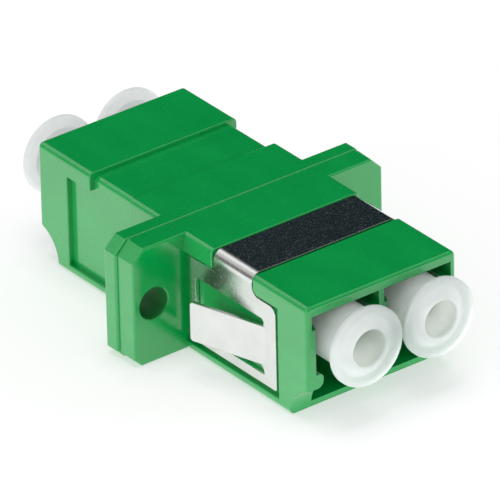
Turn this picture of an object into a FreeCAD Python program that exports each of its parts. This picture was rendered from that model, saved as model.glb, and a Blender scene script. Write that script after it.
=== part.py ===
"""Duplex fibre adapter with a screw flange: two welded housing halves, a sheet steel panel clip,
two split ceramic sleeves and four dust caps.

Shared frame, in millimetres: X runs across the flange, the front ports face -Y, Z is up. The origin is
on the panel face of the flange, midway between its two screw holes.

Every piece is drawn in the frame of its housing half: the seam of the flange on y = 0, the ports facing
-Y and the flat underside on z = 0. Placing a rear piece turns it half a turn about Z.
"""
import FreeCAD, Part
import os
import re

SIZES = (
    # Ports and the walls around them
    ("port_pitch", "6.25"),
    ("port_width", "4.7"),
    ("thin_wall", "0.605"),
    ("top_wall", "0.75"),
    ("floor_wall", "0.45"),
    ("web", "2.8"),
    ("lead_in", "0.28"),
    ("lead_depth", "0.6"),
    ("notch_height", "1.1"),
    ("notch_depth", "3.0"),
    ("notch_wall", "0.45"),
    ("latch_width", "3.1"),
    ("latch_depth", "8.0"),
    ("nose_width", "0.35"),
    ("nose_height", "1.09"),
    ("nose_depth", "1.6"),
    ("nose_round", "0.35"),
    ("nose_foot_round", "0.55"),
    # Housing halves, outside
    ("body_height", "9.2"),
    ("half_length", "13.8"),
    ("edge_round", "0.4"),
    ("end_round", "0.25"),
    ("cut_radius", "2.5"),
    ("cut_reach", "2.05"),
    # Flange: a plate on each half, with the screw holes
    ("screw_pitch", "18.4"),
    ("screw_hole", "2.4"),
    ("hole_bevel", "0.08"),
    ("ear_margin", "1.75"),
    ("rear_overhang", "0.13"),
    ("front_plate", "1.8"),
    ("rear_plate", "1.35"),
    ("corner_cut", "0.95"),
    ("low_corner_cut", "0.6"),
    ("plate_round", "0.15"),
    ("seam_round", "0.22"),
    ("seam_groove", "0.3"),
    ("groove_depth", "0.06"),
    # Seat of the clip: a strap slot over the top, a wider leg recess down each side
    ("side_recess", "0.42"),
    ("block_length", "3.12"),
    ("collar_length", "6.08"),
    ("collar_foot", "3.34"),
    ("step_drop", "1.42"),
    ("rim_height", "0.69"),
    ("seat_round", "0.5"),
    ("bare_seat_round", "0.12"),
    ("rim_round", "0.1"),
    # Panel clip
    ("sheet", "0.3"),
    ("clip_gap", "0.05"),
    ("edge_gap", "0.16"),
    ("leg_gap", "0.3"),
    ("flange_gap", "0.62"),
    ("bend_inner", "0.45"),
    ("foot_gap", "0.39"),
    ("leg_foot_round", "0.15"),
    ("low_band", "0.75"),
    ("high_band", "1.4"),
    ("rear_band", "1.12"),
    ("front_band", "1.63"),
    ("window_round", "0.3"),
    ("low_corner_round", "0.12"),
    ("low_slit", "0.8"),
    ("high_slit", "0.56"),
    ("high_root_round", "0.24"),
    ("low_root_round", "0.75"),
    ("root_overlap", "0.15"),
    ("panel_room", "2.62"),
    ("tongue_lean", "17.1"),
    ("tip_round", "0.25"),
    # Alignment sleeves and their holders
    ("sleeve_outer", "1.6"),
    ("sleeve_bore", "1.25"),
    ("sleeve_length", "6.8"),
    ("sleeve_slit", "0.2"),
    ("sleeve_play", "0.06"),
    ("ferrule_play", "0.15"),
    ("holder_wall", "0.54"),
    ("holder_lip", "1.7"),
    # Dust caps
    ("disc_gap", "0.25"),
    ("disc_thick", "0.8"),
    ("disc_round", "0.35"),
    ("back_round", "0.2"),
    ("disc_stand", "1.85"),
    ("barrel_play", "0.1"),
    ("barrel_inside", "7.0"),
    ("barrel_bevel", "0.35"),
    ("cap_wall", "0.86"),
    ("cap_bore_depth", "6.0"),
    ("bore_round", "0.18"),
)

# Limits that several features share, as formulas in the sizes above
BODY = "(port_pitch + port_width) / 2 + thin_wall + side_recess"
CORE = "(port_pitch + port_width) / 2 + thin_wall"
CORE_TOP = "body_height - clip_gap - sheet"
STEP = "body_height - step_drop"
SLOT_END = "half_length - collar_length"
RECESS_END = "half_length - collar_foot"
PORT_TOP = "body_height - top_wall"
PORT_FLOOR = "body_height - top_wall - port_width"
AXIS = "body_height - top_wall - port_width / 2"
NOSE_ROOM = "port_width - 2 * nose_width"
TONGUE_LOW = "rim_height + foot_gap + low_band + low_slit"
TONGUE_HIGH = "body_height - step_drop - edge_gap - high_band - high_slit"
POCKET = "sleeve_outer + 2 * sleeve_play"
BARREL = "port_width - 2 * barrel_play"
# How far a cutter reaches past what it cuts, and how near two places are the same
OVER = "1"
NEAR = 1e-4

LEFT_AND_RIGHT = (("left", "-"), ("right", ""))

os.makedirs("parts", exist_ok=True)
doc = FreeCAD.newDocument("fibre_adapter")
sheet = doc.addObject("Spreadsheet::Sheet", "sizes")
for row, (alias, number) in enumerate(SIZES, start=1):
    sheet.set(f"A{row}", alias)
    sheet.set(f"B{row}", number)
    sheet.setAlias(f"B{row}", alias)
doc.recompute()


# Ways to draw

def formula(text):
    """Point each size named in the text at its cell of the sheet."""
    return re.sub(r"[a-z_]+(?![a-z_(])", lambda word: f"sizes.{word.group()}", text)


def size(alias):
    return float(sheet.get(alias))


def mirrored(limit):
    """The span from minus the limit to the limit."""
    return (f"-({limit})", limit)


def around(middle, width):
    """The span of this width about the middle."""
    return (f"{middle} - ({width}) / 2", f"{middle} + ({width}) / 2")


def box(name, x_span, y_span, z_span):
    """A box between a low and a high limit on each axis."""
    solid = doc.addObject("Part::Box", name)
    for side, axis, (low, high) in zip(("Length", "Width", "Height"), "xyz", (x_span, y_span, z_span)):
        solid.setExpression(side, formula(f"({high}) - ({low})"))
        solid.setExpression(f"Placement.Base.{axis}", formula(low))
    return solid


def lay_along_y(round_solid, x, z, y_span):
    """Lay a cylinder or cone along Y between two limits."""
    low, high = y_span
    round_solid.setExpression("Height", formula(f"({high}) - ({low})"))
    round_solid.Placement.Rotation = FreeCAD.Rotation(FreeCAD.Vector(1, 0, 0), -90)
    for axis, place in (("x", x), ("y", low), ("z", z)):
        round_solid.setExpression(f"Placement.Base.{axis}", formula(place))
    return round_solid


def rod(name, diameter, x, z, y_span):
    """A cylinder along Y."""
    cylinder = doc.addObject("Part::Cylinder", name)
    cylinder.setExpression("Radius", formula(f"({diameter}) / 2"))
    return lay_along_y(cylinder, x, z, y_span)


def cross_rod(name, radius, y, z):
    """A cylinder along X that reaches past the body on both sides."""
    cylinder = doc.addObject("Part::Cylinder", name)
    cylinder.setExpression("Radius", formula(radius))
    cylinder.setExpression("Height", formula(f"2 * ({BODY} + {OVER})"))
    cylinder.Placement.Rotation = FreeCAD.Rotation(FreeCAD.Vector(0, 1, 0), 90)
    for axis, place in (("x", f"-({BODY} + {OVER})"), ("y", y), ("z", z)):
        cylinder.setExpression(f"Placement.Base.{axis}", formula(place))
    return cylinder


def fuse(name, pieces):
    joined = doc.addObject("Part::MultiFuse", name)
    joined.Shapes = pieces
    joined.Refine = True
    return joined


def cut(name, base, tools):
    """The base with every tool taken out of it."""
    rest = doc.addObject("Part::Cut", name)
    rest.Base = base
    rest.Tool = tools[0] if len(tools) == 1 else fuse(f"{name}_tools", tools)
    rest.Refine = True
    return rest


def dress(kind, name, base, radius, chosen):
    """Round (Part::Fillet) or bevel (Part::Chamfer) the edges of the base that the test chooses."""
    doc.recompute()
    edges = [(place, radius, radius) for place, edge in enumerate(base.Shape.Edges, start=1) if chosen(edge)]
    if not edges:
        raise ValueError(f"{name} has no edge to dress")
    dressed = doc.addObject(kind, name)
    dressed.Base = base
    dressed.Edges = edges
    return dressed


def runs_along(edge, axis):
    """True for a straight edge parallel to the axis: as long as its ends are apart on that axis."""
    places = [getattr(vertex.Point, axis) for vertex in edge.Vertexes]
    return abs(max(places) - min(places) - edge.Length) < NEAR


def lies_at(edge, axis, place):
    """True where both ends of the edge lie at this place on the axis."""
    return all(abs(getattr(vertex.Point, axis) - place) < NEAR for vertex in edge.Vertexes)


def round_top(name, base, radius):
    """Round the two long top edges of a box."""
    return dress("Part::Fillet", name, base, radius,
                 lambda edge: runs_along(edge, "y") and lies_at(edge, "z", base.Shape.BoundBox.ZMax))


# Housing halves

def cut_corners(name, slab, deeper):
    """Cut the four corners off a plate of the flange, each by its size and this much more."""
    top = dress("Part::Chamfer", f"{name}_top", slab, size("corner_cut") + deeper,
                lambda edge: runs_along(edge, "y") and lies_at(edge, "z", slab.Shape.BoundBox.ZMax))
    return dress("Part::Chamfer", f"{name}_low", top, size("low_corner_cut") + deeper,
                 lambda edge: runs_along(edge, "y") and lies_at(edge, "z", slab.Shape.BoundBox.ZMin))


def flange_plate(half, plate, width, seam_gap):
    """The half's own plate of the flange: corners cut off, rims rounded, at the seam too if it is there."""
    slab = box(f"{half}_slab", mirrored(f"({width}) / 2"), (f"-{plate}", f"-{seam_gap}"),
               ("0", "body_height"))
    faced = dress("Part::Fillet", f"{half}_plate_rims", cut_corners(f"{half}_corners", slab, 0),
                  size("plate_round"), lambda edge: lies_at(edge, "y", slab.Shape.BoundBox.YMin))
    if seam_gap != "0":
        return faced
    return dress("Part::Fillet", f"{half}_seam_rims", faced, size("seam_round"),
                 lambda edge: lies_at(edge, "y", slab.Shape.BoundBox.YMax))


def seam_neck(half, width):
    """The narrower strip of the front plate that leaves a groove beside the seam."""
    neck = box(f"{half}_neck", mirrored(f"({width}) / 2 - groove_depth"), ("-seam_groove", "0"),
               ("0", "body_height"))
    return cut_corners(f"{half}_neck_corners", neck, size("groove_depth") * (2 ** 0.5 - 1))


def strap_slot(half, plate):
    """Slot over the top for the clip's strap, down to the step on each side."""
    span = (f"-({plate} + {SLOT_END})", f"-({plate} + block_length)")
    blank = box(f"{half}_slot_blank", mirrored(f"{BODY} + {OVER}"), span, (STEP, f"body_height + {OVER}"))
    core = box(f"{half}_core", mirrored(CORE), (f"{span[0]} - {OVER}", f"{span[1]} + {OVER}"),
               ("0", CORE_TOP))
    rounded_core = round_top(f"{half}_core_round", core, size("bend_inner") - size("clip_gap"))
    return cut(f"{half}_strap_slot", blank, [rounded_core])


def leg_recesses(half, plate):
    """The wider recess for a clip leg, below the step on each side."""
    span = (f"-({plate} + {RECESS_END})", f"-{plate}")
    far = f"{BODY} + {OVER}"
    left = box(f"{half}_left_recess", (f"-({far})", f"-({CORE})"), span, ("rim_height", STEP))
    right = box(f"{half}_right_recess", (CORE, far), span, ("rim_height", STEP))
    return [left, right]


def finger_cut(half, plate):
    """Round cut across the lower edge of the port end, where a finger reaches the latches."""
    above_axis = "sqrt(cut_radius ^ 2 - (cut_radius - cut_reach) ^ 2)"
    return cross_rod(f"{half}_finger_cut", "cut_radius",
                     f"-({plate} + half_length) + cut_reach - cut_radius",
                     f"{PORT_FLOOR} - nose_height - {above_axis}")


def port_flare(name, mouth, x):
    """The mouth of a port, wider at the end face."""
    flare = doc.addObject("Part::Wedge", name)
    wide = around(x, "port_width + 2 * lead_in")
    narrow = around(x, "port_width")
    limits = {"Xmin": wide[0], "Xmax": wide[1], "X2min": narrow[0], "X2max": narrow[1],
              "Ymin": f"-({mouth})", "Ymax": f"-({mouth} - lead_depth)",
              "Zmin": PORT_FLOOR, "Zmax": PORT_TOP, "Z2min": PORT_FLOOR, "Z2max": PORT_TOP}
    for limit, text in limits.items():
        flare.setExpression(limit, formula(text))
    return flare


def nose_corner(name, reach, edge, outward):
    """What one of the port's two noses loses where its upper edge is rounded."""
    middle = f"{edge} {outward} nose_round"
    span = (edge, middle) if outward == "+" else (middle, edge)
    block = box(f"{name}_block", span, reach, (f"{PORT_FLOOR} - nose_round", PORT_FLOOR))
    kept = rod(f"{name}_kept", "2 * nose_round", middle, f"{PORT_FLOOR} - nose_round", reach)
    return cut(name, block, [kept])


def port(half, plate, side, x):
    """The hollow of one port: plug space, notched upper corners, flared mouth, latch channel, nose room."""
    mouth = f"{plate} + half_length"
    name = f"{half}_{side}_port"
    outside = f"-({mouth} + {OVER})"
    under = ("floor_wall", f"{PORT_FLOOR} + {OVER}")
    notch_far = f"{BODY} - notch_wall"
    notch_span = (f"-({notch_far})", "-notch_wall / 2") if side == "left" else ("notch_wall / 2", notch_far)
    nose_span = (outside, f"-({mouth} - nose_depth)")
    return [
        box(f"{name}_plug", around(x, "port_width"), (outside, f"-({plate} + web)"), (PORT_FLOOR, PORT_TOP)),
        box(f"{name}_notch", notch_span, (outside, f"-({mouth} - notch_depth)"),
            (f"{PORT_TOP} - notch_height", PORT_TOP)),
        port_flare(f"{name}_flare", mouth, x),
        box(f"{name}_latch", around(x, "latch_width"), (outside, f"-({mouth} - latch_depth)"), under),
        box(f"{name}_nose_room", around(x, NOSE_ROOM), nose_span, under),
        nose_corner(f"{name}_low_nose", nose_span, f"{x} - ({NOSE_ROOM}) / 2", "-"),
        nose_corner(f"{name}_high_nose", nose_span, f"{x} + ({NOSE_ROOM}) / 2", "+"),
    ]


def bores(half, plate, side, sign):
    """Sleeve pocket, ferrule hole and bevelled screw hole on one side."""
    x = f"{sign}port_pitch / 2"
    screw_x = f"{sign}screw_pitch / 2"
    middle = "body_height / 2"
    pocket = rod(f"{half}_{side}_pocket", POCKET, x, AXIS, ("-(sleeve_length / 2 + sleeve_play)", OVER))
    ferrule = rod(f"{half}_{side}_ferrule", "sleeve_bore + ferrule_play", x, AXIS, ("-half_length", OVER))
    screw = rod(f"{half}_{side}_screw", "screw_hole", screw_x, middle, (f"-({plate} + {OVER})", OVER))
    bevel = doc.addObject("Part::Cone", f"{half}_{side}_screw_bevel")
    bevel.setExpression("Radius1", formula("screw_hole / 2 + hole_bevel"))
    bevel.setExpression("Radius2", formula("screw_hole / 2"))
    lay_along_y(bevel, screw_x, middle, (f"-{plate}", f"-({plate} - hole_bevel)"))
    return [pocket, ferrule, screw, bevel]


def housing(half, plate, overhang, seam_gap, corner_round):
    """One moulded half, from the seam to its two ports."""
    width = f"screw_pitch + 2 * (ear_margin + {overhang})"
    trunk = box(f"{half}_trunk", mirrored(BODY), (f"-({plate} + half_length)", f"-{plate} / 2"),
                ("0", "body_height"))
    sided_trunk = dress("Part::Fillet", f"{half}_trunk_sides", trunk, size("edge_round"),
                        lambda edge: runs_along(edge, "y"))
    rounded_trunk = dress("Part::Fillet", f"{half}_trunk_end", sided_trunk, size("end_round"),
                          lambda edge: lies_at(edge, "y", trunk.Shape.BoundBox.YMin))
    solids = [rounded_trunk, flange_plate(half, plate, width, seam_gap)]
    if seam_gap != "0":
        solids.append(seam_neck(half, width))
    slot = strap_slot(half, plate)
    recesses = leg_recesses(half, plate)
    hollows = [slot, finger_cut(half, plate)] + recesses
    holders = []
    holes = []
    for side, sign in LEFT_AND_RIGHT:
        x = f"{sign}port_pitch / 2"
        hollows += port(half, plate, side, x)
        holders.append(rod(f"{half}_{side}_holder", f"{POCKET} + 2 * holder_wall", x, AXIS,
                           ("-(sleeve_length / 2 + holder_lip)", "0")))
        holes += bores(half, plate, side, sign)
    hollow = cut(f"{half}_hollow", fuse(f"{half}_blank", solids), hollows)
    bored = cut(f"{half}_bored", fuse(f"{half}_held", [hollow] + holders), holes)

    def slot_corner(edge):
        place = slot.Shape.BoundBox
        return runs_along(edge, "x") and lies_at(edge, "y", place.YMin) and lies_at(edge, "z", place.ZMin)

    nose_offset = size("port_width") / 2 - size("nose_width")
    nose_sides = [port_side * size("port_pitch") / 2 + nose_side * nose_offset
                  for port_side in (-1, 1) for nose_side in (-1, 1)]

    def nose_foot(edge):
        curved = not any(runs_along(edge, axis) for axis in "yz")
        return curved and any(lies_at(edge, "x", place) for place in nose_sides)

    def seat_rim(edge):
        """The outer edges of the slot's two walls, and of each recess's foot and port end."""
        outside = trunk.Shape.BoundBox
        recess = recesses[0].Shape.BoundBox
        over = slot.Shape.BoundBox
        on_skin = all(abs(abs(vertex.X) - outside.XMax) < NEAR or abs(vertex.Z - outside.ZMax) < NEAR
                      for vertex in edge.Vertexes)
        around_slot = lies_at(edge, "y", over.YMin) or lies_at(edge, "y", over.YMax)
        foot = runs_along(edge, "y") and lies_at(edge, "z", recess.ZMin)
        upright = runs_along(edge, "z") and lies_at(edge, "y", recess.YMin)
        return on_skin and (around_slot or foot or upright)

    seated = dress("Part::Fillet", f"{half}_seated", bored, size(corner_round), slot_corner)
    eased = dress("Part::Fillet", f"{half}_eased", seated, size("rim_round"), seat_rim)
    return dress("Part::Fillet", f"{half}_housing", eased, size("nose_foot_round"), nose_foot)


# Panel clip

def tongues(root):
    """Two sprung tongues, rooted at the port side of the window, their free ends leaning out."""
    blade = doc.addObject("Part::Box", "left_blade")
    blade.setExpression("Length", formula("sheet"))
    blade.setExpression("Width", formula(f"{root} - panel_room"))
    blade.setExpression("Height", formula(f"({TONGUE_HIGH}) - ({TONGUE_LOW})"))
    blade.Placement.Rotation = FreeCAD.Rotation(FreeCAD.Vector(0, 0, 1), size("tongue_lean"))
    blade.setExpression("Placement.Rotation.Angle", formula("tongue_lean"))
    blade.setExpression("Placement.Base.x", formula(f"-({CORE} + clip_gap + sheet)"))
    blade.setExpression("Placement.Base.y", formula(f"-(front_plate + {root})"))
    blade.setExpression("Placement.Base.z", formula(TONGUE_LOW))

    def tip_corner(edge):
        across = abs(edge.Length - size("sheet")) < NEAR
        return across and edge.CenterOfMass.y > blade.Shape.CenterOfMass.y

    left = dress("Part::Fillet", "left_tongue", blade, size("tip_round"), tip_corner)
    right = doc.addObject("Part::Mirroring", "right_tongue")
    right.Source = left
    right.Normal = FreeCAD.Vector(1, 0, 0)
    return [left, right]


def root_webs(window_end):
    """What rounds the closed end of the slit above and below each tongue, as bars across both legs."""
    near = f"-(front_plate + {window_end})"
    below = f"{TONGUE_LOW} - low_root_round"
    webs = []
    for name, radius, low, middle in (
            ("upper", "high_root_round", TONGUE_HIGH, f"{TONGUE_HIGH} + high_root_round"),
            ("lower", "low_root_round", below, below)):
        bar = box(f"{name}_web_bar", mirrored(f"{CORE} + clip_gap + sheet"), (near, f"{near} + {radius}"),
                  (low, f"{low} + {radius}"))
        hollow = cross_rod(f"{name}_web_hollow", radius, f"{near} + {radius}", middle)
        webs.append(cut(f"{name}_web", bar, [hollow]))
    return webs


def clip_outline():
    """The clip as a solid block: folds rounded, strap narrower than the legs, port side corners rounded."""
    front = f"-(front_plate + {RECESS_END} - leg_gap)"
    low = "rim_height + foot_gap"
    wide = mirrored(f"{BODY} + {OVER}")
    above = (f"{STEP} - edge_gap", f"body_height + {OVER}")
    block = box("clip_block", mirrored(f"{CORE} + clip_gap + sheet"), (front, "-(front_plate + flange_gap)"),
                (low, "body_height"))
    folded = round_top("clip_folds", block, size("bend_inner") + size("sheet"))
    rear_trim = box("clip_rear_trim", wide, ("-(front_plate + block_length + edge_gap)", "0"), above)
    front_trim = box("clip_front_trim", wide,
                     (f"{front} - {OVER}", f"-(front_plate + {SLOT_END} - edge_gap)"), above)
    strip = cut("clip_strip", folded, [rear_trim, front_trim])

    def step_corner(edge):
        trim = front_trim.Shape.BoundBox
        at_ends = lies_at(edge, "y", trim.YMax) or lies_at(edge, "y", block.Shape.BoundBox.YMin)
        return runs_along(edge, "x") and at_ends and lies_at(edge, "z", trim.ZMin)

    def foot_corner(edge):
        place = block.Shape.BoundBox
        return runs_along(edge, "x") and lies_at(edge, "y", place.YMin) and lies_at(edge, "z", place.ZMin)

    stepped = dress("Part::Fillet", "clip_steps", strip, size("seat_round") + size("edge_gap"), step_corner)
    return dress("Part::Fillet", "clip_feet", stepped, size("leg_foot_round"), foot_corner)


def panel_clip():
    """One folded strip of spring steel over the front half: strap, two legs, a window and tongue in each."""
    window_end = f"{RECESS_END} - front_band"
    wide = mirrored(f"{BODY} + {OVER}")
    window = box("clip_window", wide, (f"-(front_plate + {window_end})", "-(front_plate + rear_band)"),
                 ("rim_height + foot_gap + low_band", f"{STEP} - edge_gap - high_band"))

    def corner(edge):
        place = window.Shape.BoundBox
        at_end = lies_at(edge, "y", place.YMin) or lies_at(edge, "y", place.YMax)
        return at_end and (lies_at(edge, "z", place.ZMin) or lies_at(edge, "z", place.ZMax))

    def low_port_corner(edge):
        place = window.Shape.BoundBox
        return lies_at(edge, "y", place.YMin) and lies_at(edge, "z", place.ZMin)

    eased_window = dress("Part::Fillet", "clip_window_low", window, size("low_corner_round"), low_port_corner)
    rounded_window = dress("Part::Fillet", "clip_window_round", eased_window, size("window_round"), corner)
    framed = cut("clip_framed", clip_outline(), [rounded_window])
    sprung = fuse("clip_sprung", [framed] + tongues(f"({window_end} + root_overlap)") + root_webs(window_end))
    inside = box("clip_inside", mirrored(f"{CORE} + clip_gap"),
                 (f"-(front_plate + {RECESS_END} + {OVER})", "0"), (f"-{OVER}", f"{CORE_TOP} + clip_gap"))
    return cut("panel_clip", sprung, [round_top("clip_inside_round", inside, size("bend_inner"))])


# Alignment sleeves

def sleeve(side, sign):
    """A ceramic tube, slit along its underside, centred on the seam."""
    x = f"{sign}port_pitch / 2"
    half = "sleeve_length / 2"
    beyond = mirrored(f"{half} + {OVER}")
    tube = rod(f"{side}_tube", "sleeve_outer", x, AXIS, mirrored(half))
    bore = rod(f"{side}_tube_bore", "sleeve_bore", x, AXIS, beyond)
    slit = box(f"{side}_tube_slit", around(x, "sleeve_slit"), beyond, (f"{AXIS} - sleeve_outer", AXIS))
    return cut(f"{side}_sleeve", tube, [bore, slit])


# Dust caps

def dust_cap(node, plate, sign):
    """A flanged plug: rounded disc outside the port, barrel inside it, blind bore from the front."""
    x = f"{sign}port_pitch / 2"
    mouth = f"{plate} + half_length"
    back = f"{mouth} + disc_stand"
    face = f"{back} + disc_thick"
    disc = rod(f"{node}_disc", "port_pitch - disc_gap", x, AXIS, (f"-({face})", f"-({back})"))
    faced_disc = dress("Part::Fillet", f"{node}_disc_face", disc, size("disc_round"),
                       lambda edge: lies_at(edge, "y", disc.Shape.BoundBox.YMin))
    rounded_disc = dress("Part::Fillet", f"{node}_disc_back", faced_disc, size("back_round"),
                         lambda edge: lies_at(edge, "y", disc.Shape.BoundBox.YMax))
    barrel = rod(f"{node}_barrel", BARREL, x, AXIS,
                 (f"-({back} + disc_thick / 2)", f"-({mouth} - barrel_inside)"))
    bevelled = dress("Part::Chamfer", f"{node}_barrel_bevel", barrel, size("barrel_bevel"),
                     lambda edge: lies_at(edge, "y", barrel.Shape.BoundBox.YMax))
    bore = rod(f"{node}_bore", f"{BARREL} - 2 * cap_wall", x, AXIS,
               (f"-({face} + {OVER})", f"-({face} - cap_bore_depth)"))
    hollow = cut(f"{node}_hollow", fuse(f"{node}_solid", [rounded_disc, bevelled]), [bore])

    def bore_rim(edge):
        ring = isinstance(edge.Curve, Part.Circle) and lies_at(edge, "y", disc.Shape.BoundBox.YMin)
        return ring and abs(edge.Curve.Radius - bore.Radius.Value) < NEAR

    return dress("Part::Fillet", node, hollow, size("bore_round"), bore_rim)


# Placing, checking and writing out

def place(piece, node, turned=False):
    """Give the piece its node name and move it from its half's frame into the shared one."""
    piece.Label = node
    if turned:
        piece.Placement.Rotation = FreeCAD.Rotation(FreeCAD.Vector(0, 0, 1), 180)
    piece.setExpression("Placement.Base.y", formula("front_plate"))
    piece.setExpression("Placement.Base.z", formula("-body_height / 2"))
    return piece


pieces = [
    place(housing("front", "front_plate", "0", "seam_groove", "seat_round"), "front_housing"),
    place(housing("rear", "rear_plate", "rear_overhang", "0", "bare_seat_round"), "rear_housing",
          turned=True),
    place(panel_clip(), "panel_clip"),
]
for side, sign in LEFT_AND_RIGHT:
    opposite = "" if sign else "-"
    pieces.append(place(sleeve(side, sign), f"{side}_sleeve"))
    pieces.append(place(dust_cap(f"front_{side}_cap", "front_plate", sign), f"front_{side}_cap"))
    rear_cap = dust_cap(f"rear_{side}_cap", "rear_plate", opposite)
    pieces.append(place(rear_cap, f"rear_{side}_cap", turned=True))
doc.recompute()

for made in doc.Objects:
    if "Invalid" in made.State or "Error" in made.State:
        raise RuntimeError(f"{made.Label} did not compute: {made.State}")
for piece in pieces:
    if piece.Shape.isNull() or not piece.Shape.isValid() or len(piece.Shape.Solids) != 1:
        raise RuntimeError(f"{piece.Label} is not one sound solid")
    piece.Shape.exportStep(f"parts/{piece.Label}.step")
    print(piece.Label, "volume", round(piece.Shape.Volume, 2), piece.Shape.BoundBox)
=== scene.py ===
import math

import bpy
from mathutils import Matrix, Vector


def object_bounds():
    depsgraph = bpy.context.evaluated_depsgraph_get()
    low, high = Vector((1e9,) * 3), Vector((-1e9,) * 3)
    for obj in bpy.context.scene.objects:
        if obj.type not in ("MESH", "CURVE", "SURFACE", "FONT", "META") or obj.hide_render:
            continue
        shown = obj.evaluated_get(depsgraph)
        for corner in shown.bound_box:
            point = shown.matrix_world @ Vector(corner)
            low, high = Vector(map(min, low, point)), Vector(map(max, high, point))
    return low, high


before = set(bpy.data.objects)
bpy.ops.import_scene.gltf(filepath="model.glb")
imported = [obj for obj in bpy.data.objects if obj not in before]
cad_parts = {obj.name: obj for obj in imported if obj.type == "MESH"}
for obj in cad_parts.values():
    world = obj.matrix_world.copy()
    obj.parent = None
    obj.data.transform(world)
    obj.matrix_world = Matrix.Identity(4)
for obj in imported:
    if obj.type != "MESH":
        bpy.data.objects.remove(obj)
cad_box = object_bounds()
scene = bpy.context.scene

MM = 0.001

# Nodes that share a material
HOUSINGS = ("front_housing", "rear_housing")
CLIPS = ("panel_clip",)
SLEEVES = ("left_sleeve", "right_sleeve")
CAPS = ("front_left_cap", "front_right_cap", "rear_left_cap", "rear_right_cap")

# Round holes along Y, in pairs left and right: distance of their axes from the middle, height, radius
SCREW_HOLES = (9.2 * MM, 0.0, 1.2 * MM)
CAP_BORES = (3.125 * MM, 1.5 * MM, 1.39 * MM)
HOLE_MARGIN = 0.03 * MM


# Camera

PHOTO_WIDTH = 500
FOCAL_PIXELS = 9309
SENSOR = 36.0
AZIMUTH = math.radians(-37.0)
ELEVATION = math.radians(29.5)
ROLL = math.radians(-1.27)
DISTANCE = 650 * MM
TARGET = Vector((0.6, 1.85, -0.1)) * MM
NEAREST_SEEN = 0.01


def make_camera():
    """A long lens at the photograph's angle; roll tips the picture's own axes."""
    outward = Vector((math.sin(AZIMUTH) * math.cos(ELEVATION),
                      -math.cos(AZIMUTH) * math.cos(ELEVATION),
                      math.sin(ELEVATION)))
    level = Vector((math.cos(AZIMUTH), math.sin(AZIMUTH), 0.0))
    upright = outward.cross(level)
    right = level * math.cos(ROLL) + upright * math.sin(ROLL)
    up = upright * math.cos(ROLL) - level * math.sin(ROLL)
    place = TARGET + outward * DISTANCE
    data = bpy.data.cameras.new("photo_camera")
    data.sensor_width = SENSOR
    data.lens = SENSOR * FOCAL_PIXELS / PHOTO_WIDTH
    data.clip_start = NEAREST_SEEN
    camera = bpy.data.objects.new("photo_camera", data)
    camera.matrix_world = Matrix((
        (right.x, up.x, outward.x, place.x),
        (right.y, up.y, outward.y, place.y),
        (right.z, up.z, outward.z, place.z),
        (0.0, 0.0, 0.0, 1.0),
    ))
    scene.collection.objects.link(camera)
    scene.camera = camera


# Ways to wire materials

# Noise values seldom fall outside these two
NOISE_LOW = 0.25
NOISE_HIGH = 0.75
EDGE_SAMPLES = 4


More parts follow.
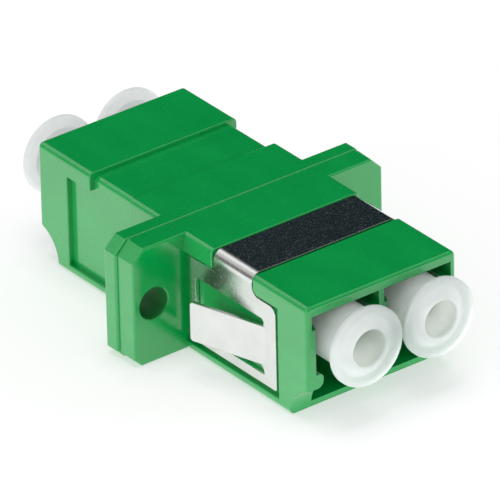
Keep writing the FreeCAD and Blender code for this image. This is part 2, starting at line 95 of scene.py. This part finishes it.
class Wiring:
    """A new node material, with short calls to add and join its nodes."""

    def __init__(self, name):
        self.material = bpy.data.materials.new(name)
        self.material.use_nodes = True
        self.nodes = self.material.node_tree.nodes
        self.links = self.material.node_tree.links
        self.shader = self.nodes["Principled BSDF"]

    def add(self, kind, **settings):
        """A new node with these settings."""
        node = self.nodes.new(kind)
        for name, value in settings.items():
            setattr(node, name, value)
        return node

    def join(self, source, target):
        """A link from one socket to another."""
        self.links.new(source, target)

    def drive(self, name, source):
        """A link from a socket to one of the shader's own."""
        self.join(source, self.shader.inputs[name])

    def set(self, **values):
        """Constant values, each on the shader's own socket; an underscore stands for a space."""
        for name, value in values.items():
            self.shader.inputs[name.replace("_", " ")].default_value = value

    def place(self, stretch=(1.0, 1.0, 1.0)):
        """Object coordinates in metres, stretched per axis."""
        coordinates = self.add("ShaderNodeTexCoord")
        mapping = self.add("ShaderNodeMapping")
        mapping.inputs["Scale"].default_value = stretch
        self.join(coordinates.outputs["Object"], mapping.inputs["Vector"])
        return mapping.outputs["Vector"]

    def axes(self):
        """The object coordinates X, Y and Z as sockets, by name."""
        spot = self.add("ShaderNodeSeparateXYZ")
        self.join(self.place(), spot.inputs["Vector"])
        return spot.outputs

    def noise(self, vector, grain, detail=2.0):
        """Noise whose grains are about this size, in metres."""
        texture = self.add("ShaderNodeTexNoise")
        texture.inputs["Scale"].default_value = 1.0 / grain
        texture.inputs["Detail"].default_value = detail
        self.join(vector, texture.inputs["Vector"])
        return texture.outputs["Fac"]

    def carry(self, value, source_range, target_range):
        """A value carried from one range over to another, and held at its ends."""
        ranged = self.add("ShaderNodeMapRange")
        ranged.inputs["From Min"].default_value = source_range[0]
        ranged.inputs["From Max"].default_value = source_range[1]
        ranged.inputs["To Min"].default_value = target_range[0]
        ranged.inputs["To Max"].default_value = target_range[1]
        self.join(value, ranged.inputs["Value"])
        return ranged.outputs["Result"]

    def spread(self, noise, low=0.0, high=1.0):
        """The noise's middle half, spread from low to high."""
        return self.carry(noise, (NOISE_LOW, NOISE_HIGH), (low, high))

    def mix(self, kind, factor, first, second):
        """A mix of two values or colours, each written out or a socket."""
        mix = self.add("ShaderNodeMix", data_type=kind)
        self.join(factor, mix.inputs["Factor"])
        for value, target in ((first, mix.inputs["A"]), (second, mix.inputs["B"])):
            if isinstance(value, bpy.types.NodeSocket):
                self.join(value, target)
            else:
                target.default_value = value
        return mix.outputs["Result"]

    def blend(self, factor, first, second):
        """A colour between two others, each three numbers or a socket."""
        first, second = [colour if isinstance(colour, bpy.types.NodeSocket) else (*colour, 1.0)
                         for colour in (first, second)]
        return self.mix("RGBA", factor, first, second)

    def between(self, factor, first, second):
        """A value between two others, each a number or a socket."""
        return self.mix("FLOAT", factor, first, second)

    def math(self, operation, first, second=0.0):
        """What an operation makes of a socket and a number or another socket."""
        node = self.add("ShaderNodeMath", operation=operation)
        self.join(first, node.inputs[0])
        if isinstance(second, float):
            node.inputs[1].default_value = second
        else:
            self.join(second, node.inputs[1])
        return node.outputs[0]

    def square(self, value):
        """A socket's value times itself."""
        return self.math("MULTIPLY", value, value)

    def inside(self, holes):
        """1 on the walls and floors of a pair of holes."""
        middle, height, radius = holes
        axes = self.axes()
        across = self.math("SUBTRACT", self.math("ABSOLUTE", axes["X"]), middle)
        rise = self.math("SUBTRACT", axes["Z"], height)
        reach = self.math("ADD", self.square(across), self.square(rise))
        return self.math("LESS_THAN", reach, (radius + HOLE_MARGIN) ** 2)

    def relief(self, height, depth, edge_round):
        """A shallow bump on edges that are shaded as if rounded to this radius."""
        bevel = self.add("ShaderNodeBevel", samples=EDGE_SAMPLES)
        bevel.inputs["Radius"].default_value = edge_round
        bump = self.add("ShaderNodeBump")
        bump.inputs["Strength"].default_value = 1.0
        bump.inputs["Distance"].default_value = depth
        self.join(height, bump.inputs["Height"])
        self.join(bevel.outputs["Normal"], bump.inputs["Normal"])
        self.drive("Normal", bump.outputs["Normal"])


# Materials

def housing_plastic():
    """Green moulded polyester: faint flow mottle, fine pigment speckle and moulded grain; the screw holes
    are rougher, and painted a darker green as shade.
    """
    deep_green = (0.0, 0.275, 0.05)
    light_green = (0.0, 0.395, 0.078)
    # Painted shade: a darker green inside the screw holes, where shade falls
    hole_painted_shade_green = (0.0, 0.2, 0.03)
    mottle_share = 0.4
    grain_share = 0.6
    hole_roughness = 0.6
    wiring = Wiring("housing_plastic_moulded")
    mottle = wiring.noise(wiring.place((1.0, 0.35, 1.0)), 2.5 * MM, detail=3.0)
    grain = wiring.noise(wiring.place(), 0.12 * MM)
    pigment = wiring.math("ADD", wiring.math("MULTIPLY", mottle, mottle_share),
                          wiring.math("MULTIPLY", grain, grain_share))
    skin = wiring.blend(wiring.spread(pigment), deep_green, light_green)
    in_hole = wiring.inside(SCREW_HOLES)
    # The skin, with painted shade inside the screw holes
    wiring.drive("Base Color", wiring.blend(in_hole, skin, hole_painted_shade_green))
    wiring.drive("Roughness", wiring.between(in_hole, wiring.spread(mottle, 0.17, 0.23), hole_roughness))
    wiring.drive("Coat Weight", wiring.between(in_hole, 1.0, 0.0))
    wiring.relief(grain, 0.0015 * MM, 0.05 * MM)
    wiring.set(IOR=1.55, Coat_Roughness=0.12, Coat_IOR=1.5)
    return wiring.material


def clip_steel():
    """Bright rolled spring steel: fine rolling lines along the strip, and a rougher grain."""
    grey_steel = (0.78, 0.79, 0.77)
    bright_steel = (0.86, 0.87, 0.85)
    grain_roughness = 0.29
    grain_contrast = 2.0
    wiring = Wiring("clip_steel_rolled")
    lines = wiring.noise(wiring.place((0.12, 1.0, 0.12)), 0.05 * MM, detail=4.0)
    cloud = wiring.noise(wiring.place(), 1.5 * MM)
    speckle = wiring.noise(wiring.place(), 0.13 * MM, detail=1.0)
    grain = wiring.math("POWER", wiring.spread(speckle), grain_contrast)
    wiring.drive("Base Color", wiring.blend(wiring.spread(cloud), grey_steel, bright_steel))
    wiring.drive("Roughness", wiring.between(grain, wiring.spread(lines, 0.16, 0.2), grain_roughness))
    wiring.relief(lines, 0.0004 * MM, 0.09 * MM)
    wiring.set(Metallic=1.0)
    return wiring.material


def cap_plastic():
    """Milky polyethylene that light passes through, less so in the bore, whose wall is painted a yellower
    milk as shade.
    """
    dull_milk = (0.54, 0.63, 0.625)
    pale_milk = (0.59, 0.67, 0.665)
    # Painted shade: a yellower milk on the bore's wall, where shade falls
    bore_painted_shade_milk = (0.58, 0.64, 0.56)
    bore_subsurface = 0.75
    wiring = Wiring("cap_plastic_soft")
    cloud = wiring.noise(wiring.place(), 1.2 * MM, detail=3.0)
    grain = wiring.noise(wiring.place(), 0.15 * MM)
    in_bore = wiring.inside(CAP_BORES)
    skin = wiring.blend(wiring.spread(cloud), dull_milk, pale_milk)
    # The skin, with painted shade on the bore's wall
    wiring.drive("Base Color", wiring.blend(in_bore, skin, bore_painted_shade_milk))
    wiring.drive("Subsurface Weight", wiring.between(in_bore, 1.0, bore_subsurface))
    wiring.drive("Roughness", wiring.spread(cloud, 0.32, 0.42))
    wiring.relief(grain, 0.001 * MM, 0.05 * MM)
    wiring.set(IOR=1.5, Subsurface_Radius=(1.0, 1.0, 1.0), Subsurface_Scale=15.0 * MM)
    return wiring.material


def sleeve_ceramic():
    """Ground zirconia, ivory white, with faint grinding lines round the tube."""
    dull_ivory = (0.8, 0.78, 0.71)
    pale_ivory = (0.86, 0.84, 0.78)
    wiring = Wiring("sleeve_ceramic_ground")
    lines = wiring.noise(wiring.place((0.2, 1.0, 0.2)), 0.05 * MM, detail=3.0)
    wiring.drive("Base Color", wiring.blend(wiring.spread(lines), dull_ivory, pale_ivory))
    wiring.drive("Roughness", wiring.spread(lines, 0.12, 0.2))
    wiring.relief(lines, 0.0003 * MM, 0.02 * MM)
    wiring.set(IOR=2.1)
    return wiring.material


def dress(names, material):
    """Give CAD nodes this material."""
    for name in names:
        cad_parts[name].data.materials[0] = material


# Studio: all lengths here are in metres unless MM is named

WHITE = (1.0, 1.0, 1.0, 1.0)
BLACK = (0.0, 0.0, 0.0, 1.0)
DARK_BLUE = (0.4, 1.0, 1.2, 1.0)
SEEING_RAYS = ("Is Camera Ray", "Is Glossy Ray", "Is Transmission Ray")

WORLD_AS_LIGHT = 0.55
WORLD_AS_SEEN = 1.0

# The floor glows as a light near the part, less behind it, and by another amount to what sees it
FLOOR_GREY = (0.6, 0.6, 0.6, 1.0)
FLOOR_FADE = (14 * MM, 30 * MM)
FLOOR_AS_LIGHT = (0.95, 0.3)
FLOOR_AS_SEEN = 0.47
FLOOR_REACH = 2.0
FLOOR_GAP = 0.01 * MM

# Cards for reflections: name, bearings and heights in degrees, brightness, colour
CARDS = (
    ("dark_right", (27, 95), (0, 52), 0.016, DARK_BLUE),
    ("dark_low", (14, 27), (0, 33), 0.016, DARK_BLUE),
    ("grey_back", (14, 27), (33, 60), 0.35, WHITE),
    ("soft_back", (-20, 14), (28, 60), 1.0, WHITE),
    ("soft_left", (-60, -20), (26, 60), 0.6, WHITE),
    ("dark_left", (-75, 14), (1, 26), 0.18, WHITE),
    ("grey_front", (95, 230), (38, 60), 0.35, WHITE),
    ("low_front", (95, 230), (1, 38), 0.1, WHITE),
)
CARD_DISTANCE = 0.6
CARD_STEPS = 24
CEILING = ("grey_ceiling", (-180, 180), (60, 90), 0.3, WHITE)
CEILING_DISTANCE = 0.65

# Lamps: name, direction from the part, watts
LAMPS = (
    ("left_box", Vector((-0.85, 0.1, 0.2)), 2.8),
    ("high_box", Vector((0.0, 0.0, 1.0)), 3.0),
    ("front_box", Vector((0.75, -0.65, 0.1)), 4.0),
)
LAMP_DISTANCE = 1.0
LAMP_SIZE = 0.5


def seeing_ray(tree):
    """1 for the rays of the camera, mirrors and clear things, 0 for those that gather light."""
    path = tree.nodes.new("ShaderNodeLightPath")
    seen = path.outputs[SEEING_RAYS[0]]
    for kind in SEEING_RAYS[1:]:
        larger = tree.nodes.new("ShaderNodeMath")
        larger.operation = "MAXIMUM"
        tree.links.new(seen, larger.inputs[0])
        tree.links.new(path.outputs[kind], larger.inputs[1])
        seen = larger.outputs[0]
    return seen


def make_world():
    """White to the camera, mirrors and clear things; dimmer as a light."""
    world = bpy.data.worlds.new("studio")
    world.use_nodes = True
    tree = world.node_tree
    strength = tree.nodes.new("ShaderNodeMapRange")
    strength.inputs["To Min"].default_value = WORLD_AS_LIGHT
    strength.inputs["To Max"].default_value = WORLD_AS_SEEN
    tree.links.new(seeing_ray(tree), strength.inputs["Value"])
    background = tree.nodes["Background"]
    background.inputs["Color"].default_value = WHITE
    tree.links.new(strength.outputs["Result"], background.inputs["Strength"])
    scene.world = world


def stage_mesh(name, points, faces, material):
    """A plain mesh that belongs to the studio."""
    data = bpy.data.meshes.new(name)
    data.from_pydata(points, [], faces)
    data.materials.append(material)
    thing = bpy.data.objects.new(name, data)
    scene.collection.objects.link(thing)
    return thing


def floor_white():
    """What sees the floor sees white; as a light from below it is stronger, but fades behind the part."""
    wiring = Wiring("floor_white")
    as_light = wiring.carry(wiring.axes()["Y"], FLOOR_FADE, FLOOR_AS_LIGHT)
    seen = seeing_ray(wiring.material.node_tree)
    wiring.drive("Emission Strength", wiring.between(seen, as_light, FLOOR_AS_SEEN))
    wiring.set(Base_Color=FLOOR_GREY, Roughness=0.9, Specular_IOR_Level=0.0, Emission_Color=WHITE)
    return wiring.material


def make_floor():
    """A white light table just below the part."""
    level = cad_box[0][2] - FLOOR_GAP
    signs = ((-1, -1), (1, -1), (1, 1), (-1, 1))
    corners = [Vector((x * FLOOR_REACH, y * FLOOR_REACH, level)) for x, y in signs]
    stage_mesh("floor", corners, [(0, 1, 2, 3)], floor_white())


def towards(bearing, height):
    """The direction at this bearing, clockwise from the rear, and this height, both in degrees."""
    turn = math.radians(bearing)
    rise = math.radians(height)
    return Vector((math.sin(turn) * math.cos(rise), math.cos(turn) * math.cos(rise), math.sin(rise)))


def make_card(distance, name, bearings, heights, brightness, tint):
    """A curved card of one colour around the object, which only reflections see."""
    wiring = Wiring(name)
    wiring.set(Base_Color=BLACK, Specular_IOR_Level=0.0, Emission_Color=tint, Emission_Strength=brightness)
    points = []
    for step in range(CARD_STEPS + 1):
        bearing = bearings[0] + (bearings[1] - bearings[0]) * step / CARD_STEPS
        points += [towards(bearing, height) * distance for height in heights]
    faces = [(2 * step, 2 * step + 2, 2 * step + 3, 2 * step + 1) for step in range(CARD_STEPS)]
    card = stage_mesh(name, points, faces, wiring.material)
    card.visible_camera = False
    card.visible_diffuse = False
    card.visible_shadow = False
    card.visible_transmission = False


def make_lamp(name, direction, watts):
    """A square soft box aimed at the object, which reflections don't see."""
    data = bpy.data.lights.new(name, "AREA")
    data.size = LAMP_SIZE
    data.energy = watts
    lamp = bpy.data.objects.new(name, data)
    lamp.location = direction.normalized() * LAMP_DISTANCE
    lamp.rotation_euler = (-direction).to_track_quat("-Z", "Y").to_euler()
    lamp.visible_glossy = False
    scene.collection.objects.link(lamp)


make_camera()
dress(HOUSINGS, housing_plastic())
dress(CLIPS, clip_steel())
dress(CAPS, cap_plastic())
dress(SLEEVES, sleeve_ceramic())
make_world()
make_floor()
for card in CARDS:
    make_card(CARD_DISTANCE, *card)
make_card(CEILING_DISTANCE, *CEILING)
for lamp in LAMPS:
    make_lamp(*lamp)

scene.view_settings.view_transform = "Standard"
